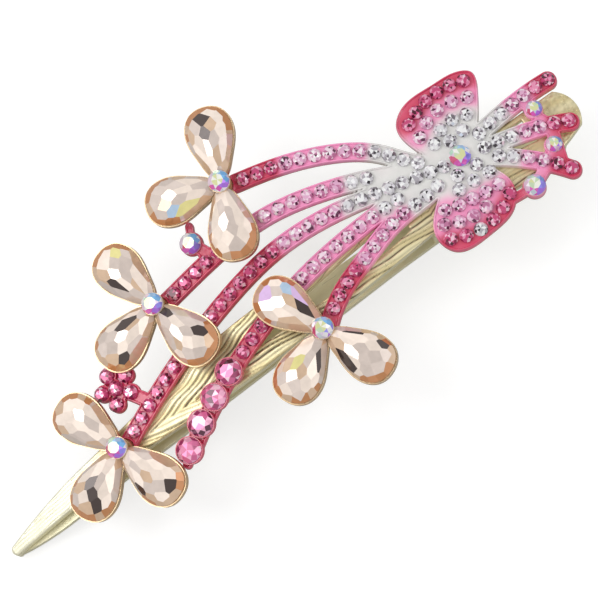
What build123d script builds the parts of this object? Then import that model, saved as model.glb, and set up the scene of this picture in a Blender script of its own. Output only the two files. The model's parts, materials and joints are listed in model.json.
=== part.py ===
# Rhinestone hair clip: an arched two-arm spring clip that carries a spray of enamelled stems, two bow
# wings, four three-petal flowers of pear stones and rows of small round stones. Millimetres.
#
# The clip lies on its lower arm. +X runs from the jaw tip to the thumb plate, +Z is up, and +Y is the side
# that the spray reaches furthest. The origin is on the table, under the middle of the clip's box.
# Outlines are drawn about the arms' centreline; heights are "lifts" above the top arm's crown arch.

from build123d import *
from math import asin, cos, radians, sin, sqrt
import os

# ---- driving dimensions ----
ARM_Y = -9.0           # the arms' centreline, off the middle of the clip's box
CROWN = (21.7, 14.57, 287.0)    # top face of the top arm: crest x, crest z, radius
SOLE = (-1.6, 6.3, 258.0)       # underside of the lower arm: crest x, crest z, radius
TOP_THICK = 1.4
LOWER_THICK = 1.5
TALL = 40.0            # taller than anything that an arch slab trims
WIDE = 60.0            # wider than anything that an arch slab trims

HINGE_X, HINGE_Z = 30.0, 9.4
EAR_THICK = 0.8
LOWER_EAR_OUT = 2.9    # outer faces of the lower ears, from the centreline
EAR_GAP = 0.12         # between a lower ear and the top ear outside it
EAR_R = 2.0
PIN_R = 0.8
PIN_FIT = 0.04         # radial running clearance in the top ears
PIN_HEAD_R, PIN_HEAD_THICK = 1.4, 0.5

WIRE_R = 0.35
COIL_R = 1.6
COIL_PITCH = 0.85
WHOLE_TURNS = 3
LEG_LENGTH = 14.0
LOWER_LEG_DROP, UPPER_LEG_RISE = 14.4, 3.6    # degrees from level

TEETH, TOOTH_PITCH, TOOTH_TALL, TOOTH_HALF = 7, 4.0, 0.45, 1.2
FIRST_TOOTH_X = -50.0

CAST_THICK = 1.0       # gold casting of the spray
ENAMEL_THICK = 0.5
ENAMEL_TOP = CAST_THICK + ENAMEL_THICK
STEM_WIDE = 3.1
ENAMEL_INSET = 0.1     # enamel edge inside the casting's edge
CRUMB_AREA = 1.0       # slips of enamel smaller than this are left out
POST_R = 1.5           # posts that carry the flowers

SMALL_R, SMALL_GIRDLE, SMALL_TALL = 1.2, 0.4, 1.1
CUP_LIFT = ENAMEL_TOP + SMALL_TALL + 0.15    # the petals pass over the small stones
BERRY_R, BERRY_TALL = 2.2, 2.0
BERRY_CUP_R = 2.38
ROUND_R, ROUND_TALL = 1.85, 1.7
TAIL_SMALL_R = 1.4
MINI_R = 1.3
MINI_RING = 2.65
SEAT_GAP = 0.02        # glue line under each stone

PEAR_LONG, PEAR_HALF = 12.6, 4.0
PEAR_TIP = 0.65        # from the flower's middle to the pear's tip
CUP_WALL, CUP_FLOOR, CUP_TALL = 0.24, 0.5, 1.3
PEAR_TALL, PEAR_GIRDLE = 3.4, 1.0
PEAR_CROWN_INSET, PEAR_CROWN_TIP = 1.6, 3.2    # how far the crown's top stands in from the girdle
FLOWER_POST_R = 0.6
ROUND_CUP_R, ROUND_CUP_THICK, ROUND_CUP_LIFT = 1.9, 0.25, 2.45

# ---- the spray's lines, each from the hub outwards ----
PATHS = {
    "stem_1": Spline((37.5, 4.6), (33.7, 6.9), (29.6, 12.4), (23.6, 17.4), (16.4, 21.0), (7.5, 23.9)),
    "stem_2": Spline(
        (37.5, 4.2), (31.6, 6.9), (25.2, 10.4), (18.1, 13.4), (8.1, 16.1), (-1.7, 16.4), (-13.5, 15.4)
    ),
    "stem_3": Spline(
        (38.0, 3.5), (32.5, 5.1), (23.0, 7.9), (13.3, 10.0), (5.8, 10.5), (-4.2, 9.4), (-19.2, 5.8),
        (-33.0, 1.0),
    ),
    "stem_4": Spline(
        (36.0, 3.0), (27.0, 4.3), (17.2, 4.5), (9.0, 4.0), (-3.5, 1.7), (-12.2, -1.0), (-25.3, -7.1)
    ),
    "stem_5": Spline((37.0, 2.6), (31.5, 1.8), (24.4, 1.6), (17.0, -0.2), (12.4, -1.5), (5.5, -5.2)),
    "tail_1": Spline((41.0, 4.4), (46.3, 5.1), (53.5, 5.6), (59.1, 5.4)),
    "tail_2": Spline((41.0, 3.2), (47.9, 1.3), (53.1, -0.4), (57.7, -2.6)),
    "tail_3": Spline((41.0, 2.4), (46.6, -1.9), (51.3, -7.0), (53.0, -9.4)),
}
WING_ROWS = {
    "upper_rose": Spline((36.2, 13.3), (41.5, 14.9), (47.8, 13.8)),
    "upper_light": Spline((36.3, 10.45), (41.6, 12.4), (46.8, 11.05)),
    "upper_crystal": Spline((37.5, 8.05), (41.1, 9.6), (44.9, 8.75)),
    "lower_rose": Spline((29.9, -6.6), (35.5, -8.4), (41.9, -6.6)),
    "lower_light": Spline((30.5, -4.0), (35.0, -5.8), (39.3, -5.6)),
    "lower_light_inner": Spline((32.1, -2.1), (37.3, -3.5), (42.0, -4.1)),
    "lower_crystal": Spline((36.0, -0.8), (38.8, -1.0), (41.8, -1.45)),
    "upper_hub": Line((39.9, 6.85), (42.6, 6.95)),
    "lower_hub": Line((37.3, 1.3), (40.9, 0.9)),
}
LINKS = [    # short bands that hold the loose stones, and their widths
    (Line((-3.2, 17.0), (-4.4, 20.4)), 2.2),
    (Line((-4.4, 20.4), (-3.0, 23.0)), 1.4),
    (Line((53.2, 4.8), (54.6, 0.2)), 1.5),
    (Line((54.6, -1.6), (52.4, -7.4)), 2.2),
    (Line((46.2, -7.9), (50.4, -6.2)), 2.0),
    (Line((46.2, -7.9), (42.2, -7.4)), 1.5),
    (Line((-29.0, 9.4), (-25.6, 3.4)), 2.4),
]
BERRY_TAB = (Line((-25.3, -7.1), (-27.3, -8.3)), 1.6)

# name of a row: line, distance to the first stone, pitch, and counts of crystal, light rose and rose stones
STONE_ROWS = {
    "stem_1": [(PATHS["stem_1"], 4.8, 2.52, (4, 6, 3))],
    "stem_2": [(PATHS["stem_2"], 13.8, 2.59, (2, 6, 0)), (PATHS["stem_2"], 41.7, 2.5, (0, 0, 5))],
    "stem_3": [(PATHS["stem_3"], 1.6, 2.45, (8, 5, 7)), (PATHS["stem_3"], 58.5, 2.48, (0, 0, 6))],
    "stem_4": [(PATHS["stem_4"], 9.0, 2.56, (2, 7, 0)), (PATHS["stem_4"], 39.8, 2.6, (0, 0, 3))],
    "stem_5": [(PATHS["stem_5"], 3.4, 2.44, (3, 5, 4))],
    "tails": [
        (PATHS["tail_1"], 3.5, 2.42, (3, 2, 2)),
        (PATHS["tail_2"], 2.8, 2.42, (3, 2, 2)),
        (PATHS["tail_3"], 4.5, 2.43, (2, 2, 2)),
    ],
    "upper_wing": [
        (WING_ROWS["upper_rose"], 0.0, 2.42, (0, 0, 6)),
        (WING_ROWS["upper_light"], 0.0, 2.75, (0, 5, 0)),
        (WING_ROWS["upper_crystal"], 0.0, 2.6, (4, 0, 0)),
        (WING_ROWS["upper_hub"], 0.0, 2.7, (2, 0, 0)),
    ],
    "lower_wing": [
        (WING_ROWS["lower_rose"], 0.0, 2.6, (0, 0, 6)),
        (WING_ROWS["lower_light"], 0.0, 2.55, (0, 4, 0)),
        (WING_ROWS["lower_light_inner"], 0.0, 2.45, (0, 5, 0)),
        (WING_ROWS["lower_crystal"], 0.0, 2.9, (3, 0, 0)),
        (WING_ROWS["lower_hub"], 0.0, 3.6, (2, 0, 0)),
    ],
}
COLOURS = ("crystal", "light_rose", "rose")

# flowers: middle, then the direction of each of the three petals in degrees
FLOWERS = {
    "1": ((5.9, 24.6), (66, 161, 246)),
    "2": ((-14.9, 15.5), (99, 190, 280)),
    "3": ((-33.8, 0.6), (108, 202, 284)),
    "4": ((4.6, -6.0), (110, 204, 290)),
}
HUB = (39.6, 3.7)
MINI = (-29.0, 9.4)
SPRIG = (-4.4, 20.4)
TAIL_STONES = [(54.1, 2.7), (53.0, -4.2), (46.2, -7.9)]
BERRIES_FIRST, BERRY_PITCH, BERRY_COUNT = 48.9, 4.8, 4

LAY = Plane(origin=(0, ARM_Y, 0))


# ---- helpers ----
def arch_slab(arch, low, high):
    """A wide slab between two arches concentric with the given one."""
    crest_x, crest_z, radius = arch
    with BuildPart() as slab:
        with BuildSketch(Plane.XZ.offset(-WIDE)):
            with Locations((crest_x, crest_z - radius)):
                Circle(radius + high)
                Circle(radius + low, mode=Mode.SUBTRACT)
        extrude(amount=2 * WIDE)
    return slab.part


def arch_z(arch, x):
    """Height of an arch at x."""
    crest_x, crest_z, radius = arch
    return crest_z - radius + sqrt(radius**2 - (x - crest_x) ** 2)


def crown_plane(spot, lift=0.0, turn=0.0):
    """Plane tangent to the crown arch over a spot, with its x axis turned by some degrees."""
    crest_x, _, radius = CROWN
    lean = asin((spot[0] - crest_x) / radius)
    normal = Vector(sin(lean), 0, cos(lean))
    level = Vector(cos(lean), 0, -sin(lean))
    foot = Vector(spot[0], spot[1] + ARM_Y, arch_z(CROWN, spot[0]))
    x_dir = level * cos(radians(turn)) + Vector(0, 1, 0) * sin(radians(turn))
    return Plane(origin=foot + normal * lift, x_dir=x_dir, z_dir=normal)


def along(path, first, pitch, count):
    """Spots at an even pitch along a path."""
    return [path.position_at((first + pitch * i) / path.length) for i in range(count)]


def lay_band(path, width):
    """Adds a band of even width with round ends to the sketch."""
    trace(path, line_width=width)
    with Locations(path @ 0, path @ 1):
        Circle(width / 2)


def pear(grow=0.0, tip_grow=None):
    """Pear outline with its tip towards the origin, grown all round, and at the tip by its own amount."""
    tip = PEAR_TIP - (grow if tip_grow is None else tip_grow)
    end, half = PEAR_TIP + PEAR_LONG + grow, PEAR_HALF + grow
    shoulder, belly = PEAR_TIP + 0.27 * PEAR_LONG, PEAR_TIP + 0.64 * PEAR_LONG
    if tip_grow is not None:
        shoulder = tip + 0.25 * (end - tip)
    with BuildSketch() as outline:
        with BuildLine():
            Spline((tip, 0), (shoulder, 0.66 * half), (belly, half), (end, 0), tangents=[(0.35, 1), (0, -1)])
            mirror(about=Plane.XZ)
        make_face()
    return outline.sketch


def lay_pears(turns, grow):
    """Adds a pear outline for each petal to the sketch."""
    for turn in turns:
        with Locations(Location((0, 0), turn)):
            add(pear(grow))


def round_stone(radius, girdle, tall):
    """A flat-backed round stone standing on the origin."""
    with BuildPart() as stone:
        with BuildSketch(Plane.XZ):
            with BuildLine():
                Polyline((0, 0), (radius, 0), (radius, girdle), (0.55 * radius, tall), (0, tall), close=True)
            make_face()
        revolve(axis=Axis.Z)
    return stone.part


def save(part, name):
    """Labels a finished piece and writes it."""
    part.label = name
    export_step(part, f"parts/{name}.step")


os.makedirs("parts", exist_ok=True)

# ---- arms ----
with BuildPart() as top_arm:
    with BuildSketch(LAY):
        with BuildLine():
            Spline((-60.0, 0.95), (-55.0, 1.9), (-45.0, 3.2), (-37.0, 3.7), (-7.0, 5.5), (2.0, 5.0))
            Spline((2.0, 5.0), (14.0, 4.6), (30.0, 4.3), (48.0, 3.9), (58.6, 3.7))
            ThreePointArc((58.6, 3.7), (60.5, 0.0), (59.2, -3.6))
            Spline((59.2, -3.6), (54.8, -5.0), (46.0, -6.2), (36.0, -4.6), (28.0, -3.6))
            Spline((28.0, -3.6), (9.0, -4.0), (-6.0, -3.8), (-20.0, -2.9), (-30.0, -1.7), (-36.0, -1.2))
            Line((-36.0, -1.2), (-59.3, -0.75))
            ThreePointArc((-59.3, -0.75), (-60.5, 0.1), (-60.0, 0.95))
        make_face()
        with BuildLine():
            Spline((-19.5, -0.6), (-8.0, 0.6), (5.5, 1.7), (17.0, 2.5), (25.8, 2.4))
            Line((25.8, 2.4), (25.8, -0.8))
            Spline((25.8, -0.8), (9.0, -1.2), (-5.0, -0.5), (-19.5, -0.6))
        make_face(mode=Mode.SUBTRACT)
        with BuildLine():
            Polyline(
                (35.0, 1.6), (44.0, 3.0), (51.6, 2.9), (51.6, -1.6), (44.0, -0.2), (35.0, 1.0), close=True
            )
        make_face(mode=Mode.SUBTRACT)
    extrude(amount=TALL)
    add(arch_slab(CROWN, -TOP_THICK, 0), mode=Mode.INTERSECT)
    ear_top = arch_z(CROWN, HINGE_X) - TOP_THICK + 0.3
    for side in (-1, 1):
        face_y = ARM_Y + side * (LOWER_EAR_OUT + EAR_GAP)
        with BuildSketch(Plane.XZ.offset(-face_y)):
            with Locations((HINGE_X, HINGE_Z)):
                Circle(EAR_R)
            with Locations((HINGE_X, (HINGE_Z + ear_top) / 2)):
                Rectangle(2 * EAR_R, ear_top - HINGE_Z)
            with Locations((HINGE_X, HINGE_Z)):
                Circle(PIN_R + PIN_FIT, mode=Mode.SUBTRACT)
        extrude(amount=-side * EAR_THICK)
save(top_arm.part, "top_arm")

with BuildPart() as lower_arm:
    with BuildSketch(LAY):
        with BuildLine():
            Spline((-60.2, 0.3), (-55.0, 1.1), (-47.0, 2.2), (-37.0, 2.8), (-5.0, 3.9), (20.0, 3.4))
            Line((20.0, 3.4), (53.6, 3.3))
            ThreePointArc((53.6, 3.3), (56.9, 0.0), (53.6, -3.3))
            Line((53.6, -3.3), (20.0, -3.1))
            Spline((20.0, -3.1), (-5.0, -3.2), (-25.0, -2.8), (-37.0, -2.4), (-47.5, -2.2))
            Spline((-47.5, -2.2), (-54.0, -1.7), (-59.4, -0.7))
            ThreePointArc((-59.4, -0.7), (-60.3, -0.3), (-60.2, 0.3))
        make_face()
    extrude(amount=TALL)
    add(arch_slab(SOLE, 0, LOWER_THICK), mode=Mode.INTERSECT)
    for number in range(TEETH):
        tooth_x = FIRST_TOOTH_X + TOOTH_PITCH * number
        with BuildSketch(Plane.XZ.offset(-ARM_Y - TOOTH_HALF)):
            with Locations((tooth_x, arch_z(SOLE, tooth_x) + LOWER_THICK)):
                Triangle(a=2 * TOOTH_TALL, B=45, C=45, align=(Align.CENTER, Align.MIN))
        extrude(amount=2 * TOOTH_HALF)
    ear_foot = arch_z(SOLE, HINGE_X) + 0.6
    for side in (-1, 1):
        with BuildSketch(Plane.XZ.offset(-(ARM_Y + side * LOWER_EAR_OUT))):
            with Locations((HINGE_X, HINGE_Z)):
                Circle(EAR_R)
            with Locations((HINGE_X, (HINGE_Z + ear_foot) / 2)):
                Rectangle(2 * EAR_R, HINGE_Z - ear_foot)
            with Locations((HINGE_X, HINGE_Z)):
                Circle(PIN_R, mode=Mode.SUBTRACT)
        extrude(amount=side * EAR_THICK)
save(lower_arm.part, "lower_arm")

# ---- hinge ----
with BuildPart() as hinge_pin:
    head_y = LOWER_EAR_OUT + 2 * EAR_GAP + EAR_THICK
    with BuildSketch(Plane.XZ.offset(-(ARM_Y - head_y))):
        with Locations((HINGE_X, HINGE_Z)):
            Circle(PIN_R)
    extrude(amount=-2 * head_y)
    for side in (-1, 1):
        with BuildSketch(Plane.XZ.offset(-(ARM_Y + side * head_y))):
            with Locations((HINGE_X, HINGE_Z)):
                Circle(PIN_HEAD_R)
        extrude(amount=-side * PIN_HEAD_THICK)
save(hinge_pin.part, "hinge_pin")

turns = WHOLE_TURNS + (180 - LOWER_LEG_DROP - UPPER_LEG_RISE) / 360
coil = Helix(
    COIL_PITCH, COIL_PITCH * turns, COIL_R, center=(HINGE_X, ARM_Y - COIL_PITCH * turns / 2, HINGE_Z),
    direction=(0, 1, 0),
)
hinge_axis = Axis((HINGE_X, ARM_Y, HINGE_Z), (0, 1, 0))
coil = coil.rotate(hinge_axis, 180 + LOWER_LEG_DROP)

with BuildPart() as torsion_spring:
    with BuildSketch(Plane(origin=coil @ 0, z_dir=coil % 0)) as wire:
        Circle(WIRE_R)
    sweep(path=coil, is_frenet=True)
    extrude(wire.sketch, amount=-LEG_LENGTH)
save(torsion_spring.part, "torsion_spring")

with BuildPart() as spring_upper_leg:
    with BuildSketch(Plane(origin=coil @ 1, z_dir=coil % 1).offset(SEAT_GAP)):
        Circle(WIRE_R)
    extrude(amount=LEG_LENGTH)
save(spring_upper_leg.part, "spring_upper_leg")


# ---- spray casting ----
def closed_face(points):
    """Face inside a smooth line through the points."""
    with BuildSketch() as outline:
        with BuildLine():
            Spline(*points)
            Line(points[-1], points[0])
        make_face()
    return outline.sketch


UPPER_WING = [
    (36.0, 5.0), (34.2, 10.5), (34.3, 14.2), (37.4, 16.5), (43.5, 16.5), (48.2, 15.8), (50.0, 14.4),
    (48.7, 10.8), (46.2, 7.4), (43.6, 4.6),
]
LOWER_WING = [
    (34.6, 1.4), (30.6, -1.2), (28.2, -5.2), (29.3, -8.5), (35.8, -9.8), (41.4, -8.7), (43.8, -5.2),
    (43.0, -1.4), (42.0, 1.0),
]
# where the rose and the white enamel lie; the rest is light pink
ROSE_ZONES = [
    [(16.5, 30), (16, 19), (3.5, 18.5), (4.5, 13), (6, 9), (2.5, 5.5), (2, 1.6), (14.8, 1.4), (16.3, -2.5),
     (16.3, -25), (-50, -25), (-50, 30)],
    [(54.8, 9), (54.2, -2), (52.3, -4.9), (48.8, -7.4), (45.0, -7.4), (45.0, -14), (65, -14), (65, 9)],
    [(32, 11.0), (37, 12.2), (42, 13.7), (47, 12.6), (52, 12.6), (52, 20), (32, 20)],
    [(26.5, -4.4), (32, -5.8), (36, -7.0), (40.5, -6.4), (42.6, -4.6), (44.9, -4.6), (44.9, -12), (26.5, -12)],
]
WHITE_ZONE = [
    (28.5, 17), (24.6, 14.2), (21.4, 12.2), (21.2, 8), (22.5, 6.4), (26, 4.6), (28.5, 2.2), (28.5, -0.3),
    (32, 0.2), (34, -1.6), (38, -2.2), (41, -2.2), (44.5, -1.2), (45.9, -4.2), (48.5, -0.9), (49.4, 0.5),
    (49.8, 7.5), (46, 10), (42, 11.2), (38, 10.2), (35, 8.8), (32.4, 11.5),
]


def lay_spray(inset=0.0):
    """Adds the spray's outline to the sketch, with the edges of its bands brought in by the inset."""
    for path in PATHS.values():
        lay_band(path, STEM_WIDE - 2 * inset)
    for link, width in LINKS:
        lay_band(link, width - 2 * inset)
    for wing in (UPPER_WING, LOWER_WING):
        add(closed_face(wing))
    with Locations(HUB):
        Circle(4.2 - inset)
    with Locations(SPRIG, TAIL_STONES[2]):
        Circle(ROUND_R + 0.1 - inset)
    with Locations(*TAIL_STONES[:2]):
        Circle(TAIL_SMALL_R + 0.2 - inset)
    with Locations(MINI, *mini_ring()):
        Circle(MINI_R + 0.15 - inset)


def mini_ring():
    """Spots of the five outer stones of the small flower."""
    angles = [90 + 72 * number for number in range(5)]
    return [(MINI[0] + MINI_RING * cos(radians(a)), MINI[1] + MINI_RING * sin(radians(a))) for a in angles]


with BuildPart() as spray_casting:
    with BuildSketch(LAY):
        lay_spray()
        lay_band(*BERRY_TAB)
    extrude(amount=TALL)
    add(arch_slab(CROWN, 0, CAST_THICK), mode=Mode.INTERSECT)
    for middle, _ in FLOWERS.values():
        with BuildSketch(crown_plane(middle, 0.2)):
            Circle(POST_R)
        extrude(amount=CUP_LIFT - 0.2)
save(spray_casting.part, "spray_casting")


def enamel_in(zones, mode):
    """Enamel laid on the casting, inside the zones (intersect) or outside them (subtract)."""
    with BuildSketch() as zone_area:
        for zone in zones:
            Polygon(*zone, align=None)
    with BuildPart() as layer:
        with BuildSketch(LAY, mode=Mode.PRIVATE) as area:
            lay_spray(ENAMEL_INSET)
            with Locations(*[middle for middle, _ in FLOWERS.values()]):
                Circle(POST_R + ENAMEL_INSET, mode=Mode.SUBTRACT)
            add(zone_area.sketch, mode=mode)
        extrude([face for face in area.sketch.faces() if face.area > CRUMB_AREA], amount=TALL)
        add(arch_slab(CROWN, CAST_THICK, ENAMEL_TOP), mode=Mode.INTERSECT)
    return layer.part


save(enamel_in(ROSE_ZONES, Mode.INTERSECT), "enamel_rose")
save(enamel_in([WHITE_ZONE], Mode.INTERSECT), "enamel_white")
save(enamel_in([*ROSE_ZONES, WHITE_ZONE], Mode.SUBTRACT), "enamel_light_pink")

# ---- flowers ----
pear_crown = PEAR_CROWN_INSET
with BuildPart() as pear_stone:
    with BuildSketch():
        add(pear())
    extrude(amount=PEAR_GIRDLE)
    with BuildSketch(Plane.XY.offset(PEAR_GIRDLE)):
        add(pear())
    with BuildSketch(Plane.XY.offset(PEAR_TALL)):
        add(pear(-PEAR_CROWN_INSET, -PEAR_CROWN_TIP))
    loft()

round_gem = round_stone(ROUND_R, 0.6, ROUND_TALL)
for name, (middle, turns) in FLOWERS.items():
    with BuildPart() as flower_cup:
        with BuildSketch(crown_plane(middle, CUP_LIFT)):
            lay_pears(turns, CUP_WALL)
        extrude(amount=CUP_TALL)
        with BuildSketch(crown_plane(middle, CUP_LIFT + CUP_FLOOR)):
            lay_pears(turns, SEAT_GAP)
        extrude(amount=CUP_TALL, mode=Mode.SUBTRACT)
        with BuildSketch(crown_plane(middle, CUP_LIFT)):
            Circle(FLOWER_POST_R)
        extrude(amount=ROUND_CUP_LIFT)
        with BuildSketch(crown_plane(middle, CUP_LIFT + ROUND_CUP_LIFT)):
            Circle(ROUND_CUP_R)
        extrude(amount=ROUND_CUP_THICK)
    save(flower_cup.part, f"flower_{name}_cups")
    for letter, turn in zip("abc", turns):
        seat = crown_plane(middle, CUP_LIFT + CUP_FLOOR + SEAT_GAP, turn)
        save(seat.location * pear_stone.part, f"pear_stone_{name}{letter}")
    seat = crown_plane(middle, CUP_LIFT + ROUND_CUP_LIFT + ROUND_CUP_THICK + SEAT_GAP)
    save(seat.location * round_gem, f"flower_{name}_middle_stone")

# ---- round stones ----
small_stone = round_stone(SMALL_R, SMALL_GIRDLE, SMALL_TALL)


def stones_at(spots, stone, lift=ENAMEL_TOP + SEAT_GAP):
    """Group of like stones standing on the enamel."""
    with BuildPart() as group:
        with Locations(*[crown_plane(spot, lift).location for spot in spots]):
            add(stone)
    return group.part


for name, rows in STONE_ROWS.items():
    spots = {colour: [] for colour in COLOURS}
    for path, first, pitch, counts in rows:
        row = along(path, first, pitch, sum(counts))
        for colour, count in zip(COLOURS, counts):
            spots[colour] += [(spot.X, spot.Y) for spot in row[:count]]
            row = row[count:]
    for colour, chosen in spots.items():
        if chosen:
            save(stones_at(chosen, small_stone), f"{name}_{colour}_stones")

save(stones_at([HUB], round_gem), "hub_stone")
save(stones_at([SPRIG], round_gem), "sprig_stone")
tail_gem = round_stone(TAIL_SMALL_R, 0.5, 1.4)
with BuildPart() as tail_stones:
    add(stones_at(TAIL_STONES[:2], tail_gem))
    add(stones_at(TAIL_STONES[2:], round_gem))
save(tail_stones.part, "tail_stones")
save(stones_at([MINI, *mini_ring()], round_stone(MINI_R, 0.4, 1.2)), "small_flower_stones")

berry_spots = [(s.X, s.Y) for s in along(PATHS["stem_4"], BERRIES_FIRST, BERRY_PITCH, BERRY_COUNT)]
with BuildPart() as berry_cup:
    Cylinder(BERRY_CUP_R, 1.3, align=(Align.CENTER, Align.CENTER, Align.MIN))
    with BuildSketch(Plane.XY.offset(0.4)):
        Circle(BERRY_R + SEAT_GAP)
    extrude(amount=1.0, mode=Mode.SUBTRACT)
save(stones_at(berry_spots, berry_cup.part), "berry_cups")
berry_lift = ENAMEL_TOP + 0.4 + 2 * SEAT_GAP
save(stones_at(berry_spots, round_stone(BERRY_R, 1.0, BERRY_TALL), berry_lift), "berry_stones")
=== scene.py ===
"""Looks of the rhinestone hair clip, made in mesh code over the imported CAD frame.

Meshes are worked out in millimetres, in the CAD's frame, and scaled to metres when they become objects.
Every seat, outline and pear is read from the CAD nodes. A "lift" is a height above the top arm's crown arch.
"""
import json
import math
import random

import bmesh
import bpy
import numpy as np
from mathutils import Matrix, Vector


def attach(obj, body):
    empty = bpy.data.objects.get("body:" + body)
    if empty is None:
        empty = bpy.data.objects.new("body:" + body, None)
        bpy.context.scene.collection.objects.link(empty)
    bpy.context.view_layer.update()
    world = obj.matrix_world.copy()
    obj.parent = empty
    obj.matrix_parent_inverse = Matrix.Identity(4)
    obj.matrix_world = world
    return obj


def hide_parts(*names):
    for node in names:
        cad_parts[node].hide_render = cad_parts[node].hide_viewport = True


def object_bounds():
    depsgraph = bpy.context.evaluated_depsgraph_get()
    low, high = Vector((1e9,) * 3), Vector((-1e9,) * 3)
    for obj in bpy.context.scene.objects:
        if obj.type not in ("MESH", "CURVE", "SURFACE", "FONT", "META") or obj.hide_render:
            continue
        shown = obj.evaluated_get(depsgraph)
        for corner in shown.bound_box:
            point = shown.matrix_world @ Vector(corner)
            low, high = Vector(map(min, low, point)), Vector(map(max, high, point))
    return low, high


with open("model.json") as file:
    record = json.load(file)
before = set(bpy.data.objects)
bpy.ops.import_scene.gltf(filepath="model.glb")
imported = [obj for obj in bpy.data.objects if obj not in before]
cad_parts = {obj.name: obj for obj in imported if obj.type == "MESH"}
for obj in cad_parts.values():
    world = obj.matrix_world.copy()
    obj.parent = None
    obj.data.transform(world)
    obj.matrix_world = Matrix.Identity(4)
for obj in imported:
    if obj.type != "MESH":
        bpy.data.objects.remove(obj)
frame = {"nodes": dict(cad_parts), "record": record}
cad_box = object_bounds()
nodes = frame["nodes"]

MM = 0.001
CREST_X, CREST_Z, CROWN_R = 21.7, 14.57, 287.0    # crown arch of the top arm
ARM_Y = -9.0                                      # the arms' centreline
CAST_TOP = 1.0                                    # lift of the casting's top face
SLOTS = {part["node"]: part["material_slot"] for part in frame["record"]["subparts"]}


def srgb(red, green, blue):
    """Linear colour of an 8-bit sRGB triple."""
    shares = [value / 255 for value in (red, green, blue)]
    return tuple(share / 12.92 if share <= 0.04045 else ((share + 0.055) / 1.055) ** 2.4 for share in shares)


# ---- surface of the arch ----
def arch_z(x, lift):
    """Height over x of the arch at a lift above the crown."""
    return CREST_Z - CROWN_R + np.sqrt((CROWN_R + lift) ** 2 - (x - CREST_X) ** 2)


def lift_of(points):
    """Lift of each point above the crown."""
    return np.hypot(points[:, 0] - CREST_X, points[:, 2] - CREST_Z + CROWN_R) - CROWN_R


def crown_axes(x):
    """Level, sideways and upright directions on the crown over x."""
    lean = math.asin((x - CREST_X) / CROWN_R)
    level = np.array([math.cos(lean), 0, -math.sin(lean)])
    upright = np.array([math.sin(lean), 0, math.cos(lean)])
    return level, np.array([0.0, 1.0, 0.0]), upright


# ---- reading the CAD nodes ----
SAME_LIFT = 0.03    # furthest that a corner of a level face may be from its lift
FACES_UP = 0.8      # least upward part of such a face's normal


def merged(node):
    """Bmesh of a CAD node with its doubled vertices merged."""
    bm = bmesh.new()
    bm.from_mesh(nodes[node].data)
    bmesh.ops.remove_doubles(bm, verts=bm.verts, dist=1e-6)
    return bm


def islands(node):
    """Vertices of each separate solid of a node, in mm, in the order of x."""
    bm = merged(node)
    left = set(bm.verts)
    found = []
    for start in bm.verts:
        if start not in left:
            continue
        left.remove(start)
        stack, group = [start], []
        while stack:
            vertex = stack.pop()
            group.append(vertex.co / MM)
            for edge in vertex.link_edges:
                other = edge.other_vert(vertex)
                if other in left:
                    left.remove(other)
                    stack.append(other)
        found.append(np.array(group))
    bm.free()
    return sorted(found, key=lambda group: group[:, 0].mean())


def seat_of(points):
    """Middle of a round stone's underside, its axes, and its radius."""
    axes = crown_axes(points[:, 0].mean())
    spans = [(points @ axis).min() / 2 + (points @ axis).max() / 2 for axis in axes[:2]]
    base = (points @ axes[2]).min()
    radius = np.ptp(points @ axes[1]) / 2
    return spans[0] * axes[0] + spans[1] * axes[1] + base * axes[2], axes, radius


def outline_of(node, lift):
    """Segments, seen from above, round the faces of a node that lie at a lift."""
    bm = merged(node)
    found = []
    for edge in bm.edges:
        tops = 0
        for face in edge.link_faces:
            corners = np.array([vertex.co for vertex in face.verts]) / MM
            tops += bool(np.abs(lift_of(corners) - lift).max() < SAME_LIFT and face.normal.z > FACES_UP)
        if tops == 1:
            found.append([[vertex.co.x / MM, vertex.co.y / MM] for vertex in edge.verts])
    bm.free()
    return np.array(found)


# ---- relief sheets: triangles cut along lines of equal distance from an outline ----
ON_LINE = 1e-5    # a point nearer than this to a level counts as above it


def signed_distance(points, segments):
    """Distance from each point to the outline, positive inside it."""
    x, y = points[:, 0], points[:, 1]
    nearest = np.full(len(points), np.inf)
    inside = np.zeros(len(points), bool)
    for (ax, ay), (bx, by) in segments:
        dx, dy = bx - ax, by - ay
        share = np.clip(((x - ax) * dx + (y - ay) * dy) / max(dx * dx + dy * dy, 1e-12), 0, 1)
        nearest = np.minimum(nearest, np.hypot(x - ax - share * dx, y - ay - share * dy))
        if ay != by:
            inside ^= ((ay > y) != (by > y)) & (x < ax + (y - ay) * dx / dy)
    return np.where(inside, nearest, -nearest)


def split_at(points, triangles, level):
    """Cuts the triangles along the line where the points' last column equals the level."""
    value = points[:, -1] - level
    value[np.abs(value) < ON_LINE] = ON_LINE
    above = value > 0
    count = above[triangles].sum(axis=1)
    mixed = (count == 1) | (count == 2)
    cut = triangles[mixed]
    first = (above[cut] == (count[mixed] == 1)[:, None]).argmax(axis=1)
    a, b, c = np.take_along_axis(cut, (first[:, None] + [0, 1, 2]) % 3, axis=1).T
    edges = np.sort(np.concatenate([np.stack([a, b], 1), np.stack([a, c], 1)]), axis=1)
    pairs, where = np.unique(edges, axis=0, return_inverse=True)
    start, end = pairs.T
    share = (value[start] / (value[start] - value[end]))[:, None]
    fresh = points[start] + share * (points[end] - points[start])
    fresh[:, -1] = level
    ab, ac = (len(points) + where.reshape(-1)).reshape(2, -1)
    parts = [triangles[~mixed], np.stack([a, ab, ac], 1), np.stack([ab, b, c], 1), np.stack([ab, c, ac], 1)]
    return np.vstack([points, fresh]), np.vstack(parts)


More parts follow.
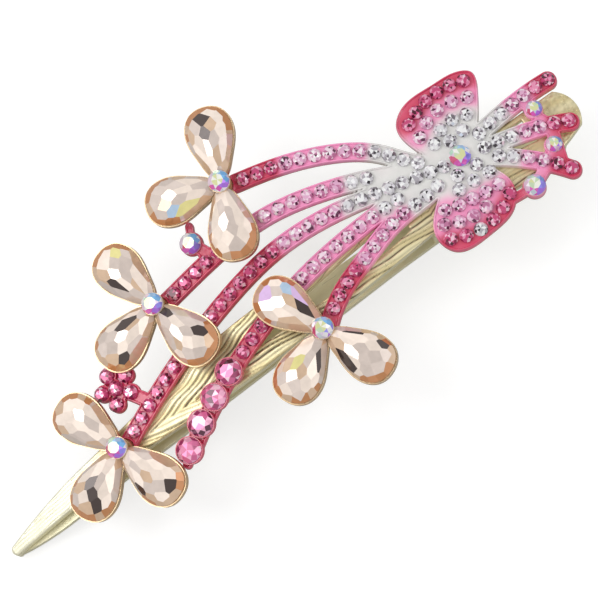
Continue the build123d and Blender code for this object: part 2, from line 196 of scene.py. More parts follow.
def cut_sheet(segments, step, levels):
    """Triangles over the outline's inside, from the first level inwards: columns x, y, distance."""
    low, high = segments.min(axis=(0, 1)) - step, segments.max(axis=(0, 1)) + step
    xs, ys = np.arange(low[0], high[0] + step, step), np.arange(low[1], high[1] + step, step)
    grid = np.stack(np.meshgrid(xs, ys, indexing="ij"), axis=-1).reshape(-1, 2)
    points = np.column_stack([grid, signed_distance(grid, segments)])
    i, j = (a.reshape(-1) for a in np.meshgrid(range(len(xs) - 1), range(len(ys) - 1), indexing="ij"))
    a = i * len(ys) + j
    b, c, d = a + len(ys), a + len(ys) + 1, a + 1
    triangles = np.vstack([np.stack([a, b, c], 1), np.stack([a, c, d], 1)])
    triangles = triangles[(points[triangles, 2] > levels[0]).any(axis=1)]
    for level in levels:
        points, triangles = split_at(points, triangles, level)
    triangles = triangles[points[triangles, 2].mean(axis=1) > levels[0]]
    used, triangles = np.unique(triangles, return_inverse=True)
    return points[used], triangles.reshape(-1, 3)


def closed_relief(points, triangles, lift, foot):
    """Vertices and faces of a sheet raised to its lifts, with walls and an underside at the foot's lift."""
    x, y = points[:, 0], points[:, 1]
    top = np.stack([x, y, arch_z(x, lift)], 1)
    under = np.stack([x, y, arch_z(x, foot)], 1)
    sides = np.concatenate([triangles[:, [0, 1]], triangles[:, [1, 2]], triangles[:, [2, 0]]])
    _, where, times = np.unique(np.sort(sides, axis=1), axis=0, return_inverse=True, return_counts=True)
    rim = sides[times[where.reshape(-1)] == 1]
    size = len(points)
    walls = np.stack([rim[:, 1], rim[:, 0], rim[:, 0] + size, rim[:, 1] + size], 1)
    faces = triangles.tolist() + (triangles[:, ::-1] + size).tolist() + walls.tolist()
    return np.vstack([top, under]), faces


# ---- objects ----
def make_object(name, points, faces, tones, material, replaced, crease=None):
    """Object of a mesh in mm, with a colour for each point or each face, in place of CAD nodes."""
    mesh = bpy.data.meshes.new(name)
    mesh.from_pydata((np.asarray(points) * MM).tolist(), [], faces)
    per_point = len(tones) == len(points)
    domain = "POINT" if per_point else "CORNER"
    layer = mesh.color_attributes.new(name="Tone", type="FLOAT_COLOR", domain=domain)
    tones = np.column_stack([tones, np.ones(len(tones))])
    if not per_point:
        tones = np.repeat(tones, [len(face) for face in faces], axis=0)
    layer.data.foreach_set("color", tones.reshape(-1))
    if crease:
        mesh.shade_smooth()
        mesh.set_sharp_from_angle(angle=math.radians(crease))
    mesh.materials.append(material)
    obj = bpy.data.objects.new(name, mesh)
    bpy.context.scene.collection.objects.link(obj)
    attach(obj, "upper")
    if replaced:
        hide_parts(*replaced)
    return obj


# ---- materials ----
NOISE_DETAIL = 3.0
NOISE_SPAN = (0.3, 0.7)    # the part of the noise's range that is used
UNSTRETCHED = (1, 1, 1)
LENGTHWISE = (0.06, 1, 1)


def new_material(name):
    """Material with its node tree and its Principled shader."""
    material = bpy.data.materials.new(name)
    material.use_nodes = True
    return material, material.node_tree, material.node_tree.nodes["Principled BSDF"]


def noise(tree, scale, low, high, stretch=UNSTRETCHED):
    """Socket of noise over the object, between two values."""
    place = tree.nodes.new("ShaderNodeTexCoord")
    mapping = tree.nodes.new("ShaderNodeMapping")
    mapping.inputs["Scale"].default_value = stretch
    texture = tree.nodes.new("ShaderNodeTexNoise")
    texture.inputs["Scale"].default_value = scale
    texture.inputs["Detail"].default_value = NOISE_DETAIL
    span = tree.nodes.new("ShaderNodeMapRange")
    for socket, value in zip(("From Min", "From Max", "To Min", "To Max"), (*NOISE_SPAN, low, high)):
        span.inputs[socket].default_value = value
    tree.links.new(place.outputs["Object"], mapping.inputs["Vector"])
    tree.links.new(mapping.outputs["Vector"], texture.inputs["Vector"])
    tree.links.new(texture.outputs["Fac"], span.inputs["Value"])
    return span.outputs["Result"]


def link_bump(tree, shader, height, strength, distance):
    """Bumps the shader's normal with a height."""
    bump = tree.nodes.new("ShaderNodeBump")
    bump.inputs["Strength"].default_value = strength
    bump.inputs["Distance"].default_value = distance
    tree.links.new(height, bump.inputs["Height"])
    tree.links.new(bump.outputs["Normal"], shader.inputs["Normal"])


def link_shade(tree, shader, colour, scale, depth, stretch=UNSTRETCHED):
    """Base colour from a colour, or from the mesh's tones if it is None, darkened in patches by noise."""
    mix = tree.nodes.new("ShaderNodeMix")
    mix.data_type = "RGBA"
    mix.blend_type = "MULTIPLY"
    mix.inputs["Factor"].default_value = 1.0
    if colour is None:
        tone = tree.nodes.new("ShaderNodeAttribute")
        tone.attribute_name = "Tone"
        tree.links.new(tone.outputs["Color"], mix.inputs["A"])
    else:
        mix.inputs["A"].default_value = (*colour, 1)
    tree.links.new(noise(tree, scale, 1 - depth, 1.0, stretch), mix.inputs["B"])
    tree.links.new(mix.outputs["Result"], shader.inputs["Base Color"])


def metal(name, colour, roughness, stretch=UNSTRETCHED, bump=0.15, metallic=0.8):
    """Plated metal with cloudy polish and fine lines along the stretched direction."""
    material, tree, shader = new_material(name)
    shader.inputs["Metallic"].default_value = metallic
    link_shade(tree, shader, colour, scale=300, depth=0.12, stretch=stretch)
    clouds = noise(tree, scale=500, low=roughness * 0.7, high=roughness * 1.3, stretch=stretch)
    tree.links.new(clouds, shader.inputs["Roughness"])
    grain = noise(tree, scale=2500, low=0, high=1, stretch=stretch)
    link_bump(tree, shader, grain, strength=bump, distance=0.03 * MM)
    return material


def enamel(name, colour=None):
    """Glossy poured enamel, in one colour or in the mesh's tones."""
    material, tree, shader = new_material(name)
    link_shade(tree, shader, colour, scale=400, depth=0.08)
    tree.links.new(noise(tree, scale=600, low=0.16, high=0.30), shader.inputs["Roughness"])
    shader.inputs["Coat Weight"].default_value = 0.5
    shader.inputs["Coat Roughness"].default_value = 0.08
    link_bump(tree, shader, noise(tree, scale=900, low=0, high=1), strength=0.25, distance=0.1 * MM)
    return material


def crystal(name, metallic, inner_reflection_mottle):
    """Cut foil-backed crystal: flat facets, each of one tone, darkened in patches by noise as painted soft
    reflections inside the stone.
    """
    material, tree, shader = new_material(name)
    link_shade(tree, shader, None, scale=900, depth=inner_reflection_mottle)
    tree.links.new(noise(tree, scale=800, low=0.04, high=0.12), shader.inputs["Roughness"])
    shader.inputs["Metallic"].default_value = metallic
    shader.inputs["Coat Weight"].default_value = 0.6
    shader.inputs["Coat Roughness"].default_value = 0.03
    return material


# ---- palettes: facet tones and how often each is drawn; the light and dark tones are painted reflections from inside the cut stone, round the stone's own colour ----
FACET_REFLECTION_PALETTES = {
    "rose_crystal": [
        (srgb(205, 75, 125), 34),
        (srgb(238, 150, 185), 24),
        (srgb(250, 205, 222), 12),
        (srgb(150, 35, 80), 16),
        (srgb(82, 14, 40), 12),
    ],
    "light_rose_crystal": [
        (srgb(232, 178, 210), 34),
        (srgb(250, 225, 238), 24),
        (srgb(255, 250, 252), 10),
        (srgb(196, 120, 160), 18),
        (srgb(96, 40, 74), 12),
    ],
    "clear_crystal": [
        (srgb(228, 226, 230), 34),
        (srgb(252, 252, 252), 28),
        (srgb(180, 175, 182), 18),
        (srgb(120, 112, 120), 10),
        (srgb(58, 52, 58), 8),
    ],
    "rainbow_crystal": [
        (srgb(250, 247, 250), 30),
        (srgb(222, 205, 228), 20),
        (srgb(205, 215, 225), 20),
    ],
    "berry_pink": [
        (srgb(222, 110, 158), 34),
        (srgb(246, 176, 206), 26),
        (srgb(252, 215, 230), 10),
        (srgb(160, 60, 105), 16),
        (srgb(86, 28, 56), 14),
    ],
}


def draw(palette, rng):
    """A colour drawn from a palette."""
    colours, weights = zip(*palette)
    return rng.choices(colours, weights)[0]


# ---- round stones ----
ODD_STONE = ("lower_wing_rose_stones", 2)    # a clear one that was set in the rose row
TABLE_REACH, MIDDLE_REACH = 0.55, 0.82       # shares of the stone's radius
MIDDLE_RISE = 0.55                           # share of the way from the girdle to the table
EVEN_TABLE = 0.35                            # chance that a table facet takes the stone's own tone
ROUND_CUTS = {    # rough radius: girdle and full height
    1.2: (0.4, 1.1),
    1.3: (0.4, 1.2),
    1.4: (0.5, 1.4),
    1.85: (0.6, 1.7),
    2.2: (1.0, 2.0),
}

# coating colours of a rainbow stone, anticlockwise from the hub's side, and on its table: partly the
# coating's own colours, partly painted reflections fixed to each facet's facing
RAINBOW = [
    srgb(120, 185, 240),
    srgb(165, 205, 245),
    srgb(190, 228, 205),
    srgb(228, 205, 225),
    srgb(216, 92, 130),
    srgb(222, 96, 190),
    srgb(180, 120, 235),
    srgb(150, 140, 240),
]
RAINBOW_TABLE = [(srgb(226, 228, 170), 50), (srgb(205, 226, 190), 25), (srgb(250, 250, 240), 25)]
RAINBOW_PLAIN = 0.2    # chance that a facet shows no coating colour
RAINBOW_STRAY = 0.6    # how far a facet's colour may stray from its place, in steps


def ring(radius, height, count, turn=0.0):
    """Points evenly round a circle, with the first turned by part of a step."""
    angles = 2 * np.pi * (np.arange(count) + turn) / count
    return np.stack([radius * np.cos(angles), radius * np.sin(angles), np.full(count, height)], 1)


def round_cut(radius, girdle, tall, sides=8):
    """Crown of a brilliant cut on a flat back: points, faces, and whether each face is on the table."""
    points = np.vstack([
        [[0, 0, tall], [0, 0, 0]],
        ring(TABLE_REACH * radius, tall, sides),
        ring(MIDDLE_REACH * radius, girdle + MIDDLE_RISE * (tall - girdle), sides, 0.5),
        ring(radius, girdle, 2 * sides),
        ring(radius, 0, 2 * sides),
    ])
    table, middle, girdles, foot = 2, 2 + sides, 2 + 2 * sides, 2 + 4 * sides
    faces, on_table = [], []
    for k in range(sides):
        after, before = (k + 1) % sides, (k - 1) % sides
        wide, wide_mid = girdles + 2 * k, girdles + 2 * k + 1
        wide_next = girdles + (2 * k + 2) % (2 * sides)
        faces += [(0, table + k, table + after)]
        faces += [(table + k, middle + k, table + after)]
        faces += [(table + k, middle + before, wide, middle + k)]
        faces += [(middle + k, wide, wide_mid), (middle + k, wide_mid, wide_next)]
        on_table += [True, False, False, False, False]
    for k in range(2 * sides):
        after = (k + 1) % (2 * sides)
        faces += [(girdles + k, foot + k, foot + after, girdles + after), (1, foot + after, foot + k)]
        on_table += [False, False]
    return points, faces, on_table


def rainbow_tone(spot, on_table, palette, rng):
    """Tone of an iridescent facet by the way it faces: the coating's own colours, set as painted reflections
    that do not change with the view.
    """
    if on_table:
        return draw(RAINBOW_TABLE, rng)
    if rng.random() < RAINBOW_PLAIN:
        return draw(palette, rng)
    share = math.atan2(spot[1], spot[0]) / (2 * math.pi)
    step = round(share * len(RAINBOW) + rng.uniform(-RAINBOW_STRAY, RAINBOW_STRAY))
    return RAINBOW[step % len(RAINBOW)]


def cut_stones(node, material, seed):
    """Replaces a node of round stones with faceted ones on the same seats."""
    rng = random.Random(seed)
    points, faces, tones = [], [], []
    for number, island in enumerate(islands(node)):
        palette = FACET_REFLECTION_PALETTES["clear_crystal" if (node, number) == ODD_STONE else SLOTS[node]]
        foot, (level, sideways, upright), radius = seat_of(island)
        girdle, tall = ROUND_CUTS[min(ROUND_CUTS, key=lambda size: abs(size - radius))]
        cut, cut_faces, on_table = round_cut(radius, girdle, tall)
        turn = rng.uniform(0, 2 * math.pi)
        along = math.cos(turn) * level + math.sin(turn) * sideways
        across = math.cos(turn) * sideways - math.sin(turn) * level
        start = sum(len(part) for part in points)
        points.append(foot + cut @ np.array([along, across, upright]))
        faces += [tuple(start + corner for corner in face) for face in cut_faces]
        heart = draw(palette, rng)
        # each facet takes a tone from the palette: painted reflections from inside the stone, light and
        # dark, round the stone's own colour
        for face, flat in zip(cut_faces, on_table):
            spot = points[-1][list(face)].mean(axis=0) - foot
            if min(cut[corner][2] for corner in face) < girdle / 2:
                tones.append(palette[0][0])
            elif SLOTS[node] == "rainbow_crystal":
                tones.append(rainbow_tone(spot, flat, palette, rng))
            else:
                tones.append(heart if flat and rng.random() < EVEN_TABLE else draw(palette, rng))
    return make_object(node + "_cut", np.vstack(points), faces, tones, material, [node])


# ---- pear stones: an outline is its centre, and its reach in each of a set of directions ----
PEAR_SEED = 100        # plus the stone's number
PEAR_GIRDLE, PEAR_TALL = 1.0, 3.4
BLOCK_SPARE = 0.5      # how far the rough block stands above the dome
DOME_POWER = 0.72      # fullness of the dome
WIDE_SHIFT = 0.6       # from the outline's middle to the dome's centre
FACET_PITCH = 1.8
FACET_ROWS = 9         # rows of checkerboard facets tried on each side of the centre
CHECKER_REACH = 0.84   # share of the way out that the checkerboard fills
RIM_FACETS, RIM_REACH, RIM_STRAY = 20, 0.93, 0.15
SORT_WAY = Vector((1, 0.37, 0.11))    # the trimming leaves its faces in a different order each time
NUDGE = 0.05           # half of the distance over which the dome's slope is taken
# pear facet tones: the stone's cream and beige, with tan and orange at the rim; the dark and coloured
# flashes and the spread of tones between facets are painted reflections from inside the stone
PEAR_CREAM = srgb(255, 238, 224)
PEAR_BEIGE = srgb(222, 206, 196)
PEAR_TAN = srgb(222, 190, 160)
PEAR_DARK_REFLECTION = srgb(70, 56, 52)
PEAR_ORANGE = srgb(206, 142, 92)
PEAR_FLASH_REFLECTIONS = [srgb(190, 215, 240), srgb(235, 225, 150), srgb(225, 190, 235)]
RIM_SHARE, WIDE_END = 0.8, 0.62    # where a facet counts as on the rim, and as at the wide end


def reach_at(turn, outline):
    """Distance from an outline's centre to its edge in a direction."""
    _, turns, reach = outline
    return np.interp(turn, turns, reach, period=2 * math.pi)


def share_of(spot, outline):
    """A spot's share of the way from an outline's centre to its edge."""
    away = spot - outline[0]
    return min(np.hypot(*away) / reach_at(math.atan2(away[1], away[0]), outline), 0.999)


def dome(spot, outline):
    """Height of the domed crown over a spot."""
    return PEAR_GIRDLE + (PEAR_TALL - PEAR_GIRDLE) * (1 - share_of(spot, outline) ** 2) ** DOME_POWER


def facet_spots(outline, rng):
    """Where each facet touches the dome: a slanted checkerboard inside, then a ring round the rim."""
    centre = outline[0]
    phase = rng.uniform(0, 1), rng.uniform(0, 1)
    spots = []
    for i in range(-FACET_ROWS, FACET_ROWS + 1):
        for j in range(-FACET_ROWS, FACET_ROWS + 1):
            u, v = (i + phase[0]) * FACET_PITCH, (j + phase[1]) * FACET_PITCH
            spots.append(centre + np.array([u + v, v - u]) / math.sqrt(2))
    spots = [spot for spot in spots if share_of(spot, outline) < CHECKER_REACH]
    for k in range(RIM_FACETS):
        turn = 2 * math.pi * (k + rng.uniform(-RIM_STRAY, RIM_STRAY)) / RIM_FACETS
        reach = RIM_REACH * reach_at(turn, outline)
        spots.append(centre + reach * np.array([math.cos(turn), math.sin(turn)]))
    return spots


def trimmed_block(rim, outline, spots):
    """Bmesh of a tall block on the rim, trimmed by one plane for each spot of the dome."""
    bm = bmesh.new()
    bottom = bm.faces.new([bm.verts.new((*spot, 0)) for spot in rim])
    for item in bmesh.ops.extrude_face_region(bm, geom=[bottom])["geom"]:
        if isinstance(item, bmesh.types.BMVert):
            item.co.z = PEAR_TALL + BLOCK_SPARE
    for spot in spots:
        slope = [
            (dome(spot + nudge, outline) - dome(spot - nudge, outline)) / (2 * NUDGE)
            for nudge in (np.array([NUDGE, 0]), np.array([0, NUDGE]))
        ]
        cut = bmesh.ops.bisect_plane(
            bm,
            geom=bm.verts[:] + bm.edges[:] + bm.faces[:],
            plane_co=(*spot, dome(spot, outline)),
            plane_no=Vector((-slope[0], -slope[1], 1)).normalized(),
            clear_outer=True,
            dist=1e-5,
        )
        edges = [item for item in cut["geom_cut"] if isinstance(item, bmesh.types.BMEdge)]
        if len(edges) > 2:
            bmesh.ops.edgeloop_fill(bm, edges=edges)
    bmesh.ops.recalc_face_normals(bm, faces=bm.faces)
    bm.verts.sort(key=lambda vertex: vertex.co.dot(SORT_WAY))
    bm.faces.sort(key=lambda face: face.calc_center_median().dot(SORT_WAY))
    bm.verts.index_update()
    return bm


def from_lowest(corners):
    """The same loop of corners, starting at the lowest."""
    first = corners.index(min(corners))
    return corners[first:] + corners[:first]


def pear_tone(share, along, rng):
    """Tone of a facet by its place: orange at the wide end's rim, painted dark and coloured reflections
    inside, else cream.
    """
    chance = rng.random()
    if share > RIM_SHARE:
        if along > WIDE_END:
            return PEAR_ORANGE if chance < 0.65 else PEAR_TAN
        return PEAR_BEIGE if chance < 0.5 else PEAR_TAN
    if chance < 0.11:
        return PEAR_DARK_REFLECTION
    if chance < 0.16:
        return rng.choice(PEAR_FLASH_REFLECTIONS)
    if chance < 0.42:
        return PEAR_BEIGE
    if chance < 0.52:
        return PEAR_TAN
    return PEAR_CREAM


def cut_pear(node, material, rng):
    """Replaces a pear stone with a checkerboard-cut one that points at its flower's middle stone."""
    flower = node[len("pear_stone_")]
    cad = islands(node)[0]
    heart = seat_of(islands(f"flower_{flower}_middle_stone")[0])[0]
    upright = crown_axes(heart[0])[2]
    away = cad.mean(axis=0) - heart
    long_way = away - (away @ upright) * upright
    long_way /= np.linalg.norm(long_way)
    axes = np.array([long_way, np.cross(upright, long_way), upright])
    origin = heart + ((cad @ upright).min() - heart @ upright) * upright
    local = (cad - origin) @ axes.T
    rim = local[local[:, 2] < PEAR_GIRDLE / 2][:, :2]
    centre = (rim.min(axis=0) + rim.max(axis=0)) / 2 + [WIDE_SHIFT, 0]
    turns = np.arctan2(*(rim - centre).T[::-1])
    order = np.argsort(turns)
    rim = rim[order]
    outline = centre, turns[order], np.hypot(*(rim - centre).T)
    bm = trimmed_block(rim, outline, facet_spots(outline, rng))
    points = origin + np.array([vertex.co for vertex in bm.verts]) @ axes
    faces = [from_lowest([vertex.index for vertex in face.verts]) for face in bm.faces]
    spots = [np.array(face.calc_center_median())[:2] for face in bm.faces]
    bm.free()
    wide_end = local[:, 0].max()
    tones = [pear_tone(share_of(spot, outline), spot[0] / wide_end, rng) for spot in spots]
    return make_object(node + "_cut", points, faces, tones, material, [node])


# ---- enamel ----
ENAMEL_STEP = 0.3
ENAMEL_EDGE = -0.03    # just outside the casting's edge
ENAMEL_FOOT = 0.35
LIP = ([ENAMEL_EDGE, 0.1, 0.24, 0.42], [1.35, 1.72, 1.72, 1.5])    # distance from the edge, lift
BOX_SPARE = 0.01       # kept clear inside the CAD's box
ZONE_BLUR = 0.5        # keeps the pull of a stone finite at its middle
ZONE_TONES = {
    "enamel_rose": srgb(214, 66, 100),
    "enamel_light_pink": srgb(250, 160, 204),
    "enamel_white": srgb(226, 226, 222),
}
ZONE_UNDER = {    # enamel zone under the stones of each slot
    "rose_crystal": "enamel_rose",
    "berry_pink": "enamel_rose",
    "light_rose_crystal": "enamel_light_pink",
    "clear_crystal": "enamel_white",
}


def stone_zones():
    """Places of the small stones and the number of the enamel zone that each stands in."""
    places, zones = [], []
    for node, slot in SLOTS.items():
        if slot in ZONE_UNDER:
            spots = [island.mean(axis=0)[:2] for island in islands(node)]
            places += spots
            zones += [list(ZONE_TONES).index(ZONE_UNDER[slot])] * len(spots)
    return places, zones


def lay_enamel(material):
    """One poured relief over the casting, shaded after the stones on it, in a piece for each zone."""
    points, triangles = cut_sheet(outline_of("spray_casting", CAST_TOP), ENAMEL_STEP, LIP[0])
    points[:, 0] = np.minimum(points[:, 0], cad_box[1][0] / MM - BOX_SPARE)
    share = np.zeros((len(points), len(ZONE_TONES)))
    for place, zone in zip(*stone_zones()):
        share[:, zone] += 1 / (np.hypot(*(points[:, :2] - place).T) ** 4 + ZONE_BLUR)
    share /= share.sum(axis=1, keepdims=True)
    tones = share @ np.array(list(ZONE_TONES.values()))
    lift = np.interp(points[:, 2], *LIP)
    strongest = share[triangles].mean(axis=1).argmax(axis=1)
    for number, node in enumerate(ZONE_TONES):
        used, local = np.unique(triangles[strongest == number], return_inverse=True)
        sheet, faces = closed_relief(points[used], local.reshape(-1, 3), lift[used], ENAMEL_FOOT)
        colours = np.vstack([tones[used], tones[used]])
        piece = make_object(f"{node}_relief", sheet, faces, colours, material, [node], crease=50)


# ---- engraved skin of the top arm ----
SKIN_SEED = 5
SKIN_STEP = 0.17
SKIN_EDGE = 0.03       # how far inside the arm's edge the skin starts
SKIN_ROUND = 0.4       # width of the rounded edge
SKIN_LOW, SKIN_TALL = 0.03, 0.26
SKIN_FOOT = -0.2
GROOVE_DEPTH = 0.2
BEAK_X, PLATE_X = -37.0, 51.5    # the veins run between the beak and the thumb plate
VEIN_PITCH, VEIN_ANGLE = 0.78, math.radians(13)
VEIN_HALF = 0.28                 # half of a vein's width, in pitches
VEIN_COUNT = 400
MIDRIB = ([BEAK_X, -20, 0, 26, 36, PLATE_X], [0.6, -0.4, 0.4, 1.0, 0.9, 0.9])    # x, y
VEIN_FAN = ([BEAK_X, -10, 30, 40], [1.3, 1.0, 0.8, 0.35])    # x, factor on the angle
BEAK_PITCH = 0.55
DIMPLE_PITCH = 1.1
DIMPLE_COLUMNS, DIMPLE_ROWS = 9, 10
DIMPLE_STRAY = 0.3
# pale and deep plating tones, and the dark tone of painted shade in the grooves
GOLD_PALE, GOLD_DEEP, GOLD_GROOVE_SHADE = srgb(244, 234, 190), srgb(220, 203, 146), srgb(52, 42, 18)
BEAK_TONE = srgb(240, 238, 216)


def ramp(x, start, end):
    """0 up to the start, 1 from the end on, and even in between."""
    return np.clip((x - start) / (end - start), 0, 1)


def blend(first, second, share):
    """Tones between two, by a share for each point."""
    share = share[:, None]
    return np.array(first) * (1 - share) + np.array(second) * share


def vein_lines(x, y, rng):
    """How deep each point lies in the arm's veins (0 to 1), and each vein's strength, which sets its depth
    and how dark its painted shade is.
    """
    midrib = np.interp(x, *MIDRIB)
    side = np.where(y > midrib, 1.0, -1.0)
    slant = VEIN_ANGLE * np.interp(x, *VEIN_FAN)
    across = np.abs(y - midrib) * np.cos(slant) - (x - BEAK_X) * np.sin(slant)
    phase = across / VEIN_PITCH + 0.2 * np.sin(0.7 * x + y)
    line = np.round(phase)
    strengths = np.array([rng.uniform(0.25, 1.0) ** 1.5 for _ in range(VEIN_COUNT)])
    strength = strengths[(line * 7 + side * 3).astype(int) % VEIN_COUNT]
    return (1 - np.clip(np.abs(phase - line) / VEIN_HALF, 0, 1)) ** 1.2, strength


def dimples(x, y, rng):
    """Height of a hammered face, 0 in the middle of each dimple and 1 between them."""
    height = np.ones(len(x))
    for i in range(DIMPLE_COLUMNS):
        for j in range(DIMPLE_ROWS):
            centre_x = PLATE_X + DIMPLE_PITCH * (i + rng.uniform(-DIMPLE_STRAY, DIMPLE_STRAY))
            centre_y = DIMPLE_PITCH * (j - DIMPLE_ROWS / 2 + rng.uniform(-DIMPLE_STRAY, DIMPLE_STRAY))
            height = np.minimum(height, np.hypot(x - centre_x, y - centre_y) / DIMPLE_PITCH)
    return np.clip(height * 1.3, 0, 1)


def engrave_arm(material):
    """Thin engraved skin over the top arm: long lines on the beak, veins, and dimples on the thumb plate,
    with painted shade darkening the grooves and dimples.
    """
    rng = random.Random(SKIN_SEED)
    levels = [SKIN_EDGE, SKIN_ROUND / 2, SKIN_ROUND]
    points, triangles = cut_sheet(outline_of("top_arm", 0.0), SKIN_STEP, levels)
    x, y, edge = points[:, 0], points[:, 1] - ARM_Y, points[:, 2]
    depth, strength = vein_lines(x, y, rng)
    veins = ramp(x, BEAK_X, BEAK_X + 3) * ramp(x, PLATE_X, PLATE_X - 2) * depth
    beak = ramp(x, BEAK_X, BEAK_X - 3)
    beak_lines = beak * (1 - np.abs(np.sin(y * math.pi / BEAK_PITCH + 0.3 * np.sin(x))) ** 0.5)
    pits = ramp(x, PLATE_X, PLATE_X + 2) * (1 - dimples(x, y, rng))
    inward = ramp(edge, 0, SKIN_ROUND)
    shoulder = np.sqrt(1 - (1 - inward) ** 2)
    hollow = (veins * (0.35 + 0.65 * strength) + 0.3 * beak_lines + pits) * inward
    lift = SKIN_LOW + (SKIN_TALL - SKIN_LOW - GROOVE_DEPTH * hollow) * shoulder
    # painted shade: the veins, the dimples' middles and the beak's lines are darkened in colour, as shade in
    # the grooves
    shade = np.clip(veins * strength * 1.5 + 0.3 * pits + 0.12 * beak_lines, 0, 1)
    cloudy = 0.35 + 0.35 * np.sin(0.5 * x + 2.1 * y)
    plating = blend(blend(GOLD_PALE, GOLD_DEEP, cloudy), GOLD_GROOVE_SHADE, shade)
    tones = blend(plating, np.array(BEAK_TONE) * (1 - shade[:, None]), 0.8 * beak)
    sheet, faces = closed_relief(points, triangles, lift, SKIN_FOOT)
    skin = make_object("top_arm_skin", sheet, faces, np.vstack([tones, tones]), material, [], crease=60)


# ---- put everything on the frame ----
stone_materials = {name: crystal(name, metallic=0.25, inner_reflection_mottle=0.08) for name in FACET_REFLECTION_PALETTES}
for number, node in enumerate(sorted(SLOTS)):
    if SLOTS[node] in FACET_REFLECTION_PALETTES:
        cut_stones(node, stone_materials[SLOTS[node]], number)

pear_material = crystal("pear_crystal", metallic=0.3, inner_reflection_mottle=0.1)
for number, node in enumerate(sorted(name for name in SLOTS if SLOTS[name] == "pear_crystal")):
    cut_pear(node, pear_material, random.Random(PEAR_SEED + number))

lay_enamel(enamel("poured_enamel"))
engrave_arm(metal("engraved_gold", None, roughness=0.32, metallic=0.5))

node_materials = {
    "arm_gold": metal("arm_gold", srgb(242, 236, 200), 0.36, LENGTHWISE, bump=0.5, metallic=0.4),
    "cast_gold": metal("cast_gold", srgb(236, 220, 170), 0.3),
    "cup_gold": metal("cup_gold", srgb(228, 200, 160), 0.3),
    "steel": metal("steel", srgb(205, 205, 205), 0.22),
    "enamel_rose": enamel("berry_rim", ZONE_TONES["enamel_rose"]),
}
for node, slot in SLOTS.items():
    if not nodes[node].hide_render:
        nodes[node].data.materials.clear()
        nodes[node].data.materials.append(node_materials[slot])

# ---- floor, light and camera ----
FLOOR_SIZE = 3.0
FLOOR_DROP = 0.1 * MM      # gap under the clip
FLOOR_GREY = 0.45
FLOOR_GLOW = 0.62          # added where the camera sees the floor
ROOM_LIGHT = 0.75          # the room as the matt surfaces see it
CLOUD_SCALE = 1.6          # clouds that only the polished surfaces mirror
CLOUD_GREYS = [(0.38, 0.5), (0.55, 1.0)]    # noise value, grey
LAMPS = {    # place, size, power
    "key": ((-0.25, 0.25, 0.5), 0.35, 1.4),
    "fill": ((0.4, -0.3, 0.4), 0.4, 0.5),
}
CAMERA_LENS, CAMERA_SENSOR = 200, 36
CAMERA_TILT, CAMERA_ROLL = math.radians(14), math.radians(37.8)
CAMERA_TARGET = Vector((4.116, 2.227 + ARM_Y, 12.0)) * MM
CAMERA_DISTANCE = 553.7 * MM


def lay_floor():
    """White floor that takes the clip's shadow."""
    bpy.ops.mesh.primitive_plane_add(size=FLOOR_SIZE, location=(0, 0, cad_box[0][2] - FLOOR_DROP))
    floor = bpy.context.object
    floor.name = "floor"
    material, tree, shader = new_material("floor")
    shader.inputs["Base Color"].default_value = (FLOOR_GREY, FLOOR_GREY, FLOOR_GREY, 1)
    shader.inputs["Roughness"].default_value = 0.9
    shader.inputs["Emission Color"].default_value = (1, 1, 1, 1)
    light_path = tree.nodes.new("ShaderNodeLightPath")
    glow = tree.nodes.new("ShaderNodeMath")
    glow.operation = "MULTIPLY"
    glow.inputs[1].default_value = FLOOR_GLOW
    tree.links.new(light_path.outputs["Is Camera Ray"], glow.inputs[0])
    tree.links.new(glow.outputs[0], shader.inputs["Emission Strength"])
    floor.data.materials.append(material)


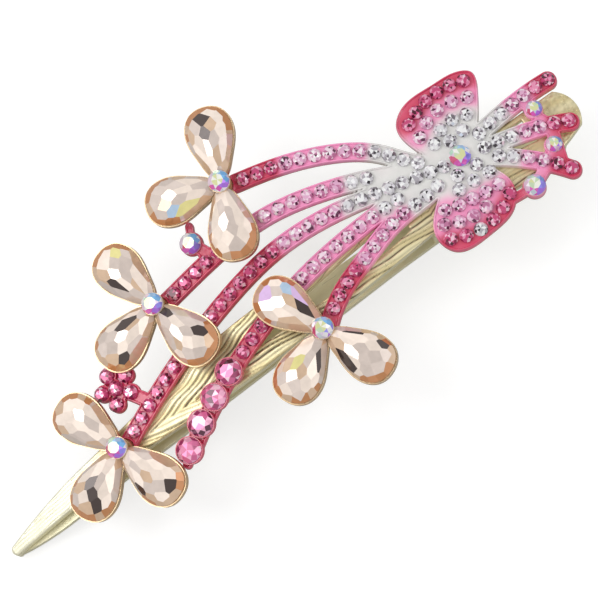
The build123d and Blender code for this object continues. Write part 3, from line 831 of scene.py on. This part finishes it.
def light_room():
    """World that is white to the camera, cloudy to polished surfaces, and plain to the rest."""
    world = bpy.data.worlds.new("studio")
    bpy.context.scene.world = world
    world.use_nodes = True
    tree = world.node_tree
    tree.nodes.clear()

    def backdrop(strength):
        shader = tree.nodes.new("ShaderNodeBackground")
        shader.inputs["Color"].default_value = (1, 1, 1, 1)
        shader.inputs["Strength"].default_value = strength
        return shader

    def either(share, first, second):
        mix = tree.nodes.new("ShaderNodeMixShader")
        for socket, source in zip(mix.inputs, (share, first.outputs[0], second.outputs[0])):
            tree.links.new(source, socket)
        return mix

    light_path = tree.nodes.new("ShaderNodeLightPath")
    direction = tree.nodes.new("ShaderNodeTexCoord")
    clouds = tree.nodes.new("ShaderNodeTexNoise")
    clouds.inputs["Scale"].default_value = CLOUD_SCALE
    clouds.inputs["Detail"].default_value = 0.0
    greys = tree.nodes.new("ShaderNodeValToRGB")
    for element, (position, grey) in zip(greys.color_ramp.elements, CLOUD_GREYS):
        element.position = position
        element.color = (grey, grey, grey, 1)
    mirrored = backdrop(1.0)
    tree.links.new(direction.outputs["Generated"], clouds.inputs["Vector"])
    tree.links.new(clouds.outputs["Fac"], greys.inputs["Fac"])
    tree.links.new(greys.outputs["Color"], mirrored.inputs["Color"])
    straight = tree.nodes.new("ShaderNodeMath")
    straight.operation = "MAXIMUM"
    tree.links.new(light_path.outputs["Is Camera Ray"], straight.inputs[0])
    tree.links.new(light_path.outputs["Is Transmission Ray"], straight.inputs[1])
    unseen = either(light_path.outputs["Is Glossy Ray"], backdrop(ROOM_LIGHT), mirrored)
    surface = either(straight.outputs[0], unseen, backdrop(1.0))
    output = tree.nodes.new("ShaderNodeOutputWorld")
    tree.links.new(surface.outputs[0], output.inputs["Surface"])


def area_lamp(name, place, size, power):
    """Square lamp that faces the clip."""
    data = bpy.data.lights.new(name, "AREA")
    data.size = size
    data.energy = power
    lamp = bpy.data.objects.new(name, data)
    lamp.location = place
    lamp.rotation_euler = (-Vector(place)).to_track_quat("-Z", "Y").to_euler()
    bpy.context.scene.collection.objects.link(lamp)


def aim_camera():
    """Long lens that looks down on the clip, tilted and rolled."""
    back = Vector((0, -math.sin(CAMERA_TILT), math.cos(CAMERA_TILT)))
    level, rise = Vector((1, 0, 0)), Vector((0, math.cos(CAMERA_TILT), math.sin(CAMERA_TILT)))
    right = math.cos(CAMERA_ROLL) * level - math.sin(CAMERA_ROLL) * rise
    up = math.sin(CAMERA_ROLL) * level + math.cos(CAMERA_ROLL) * rise
    data = bpy.data.cameras.new("camera")
    data.lens = CAMERA_LENS
    data.sensor_width = CAMERA_SENSOR
    data.clip_end = 10
    camera = bpy.data.objects.new("camera", data)
    turn = Matrix((right, up, back)).transposed().to_4x4()
    camera.matrix_world = Matrix.Translation(CAMERA_TARGET + CAMERA_DISTANCE * back) @ turn
    bpy.context.scene.collection.objects.link(camera)
    bpy.context.scene.camera = camera


lay_floor()
light_room()
for name, lamp in LAMPS.items():
    area_lamp(name, *lamp)
aim_camera()
bpy.context.scene.view_settings.view_transform = "Standard"
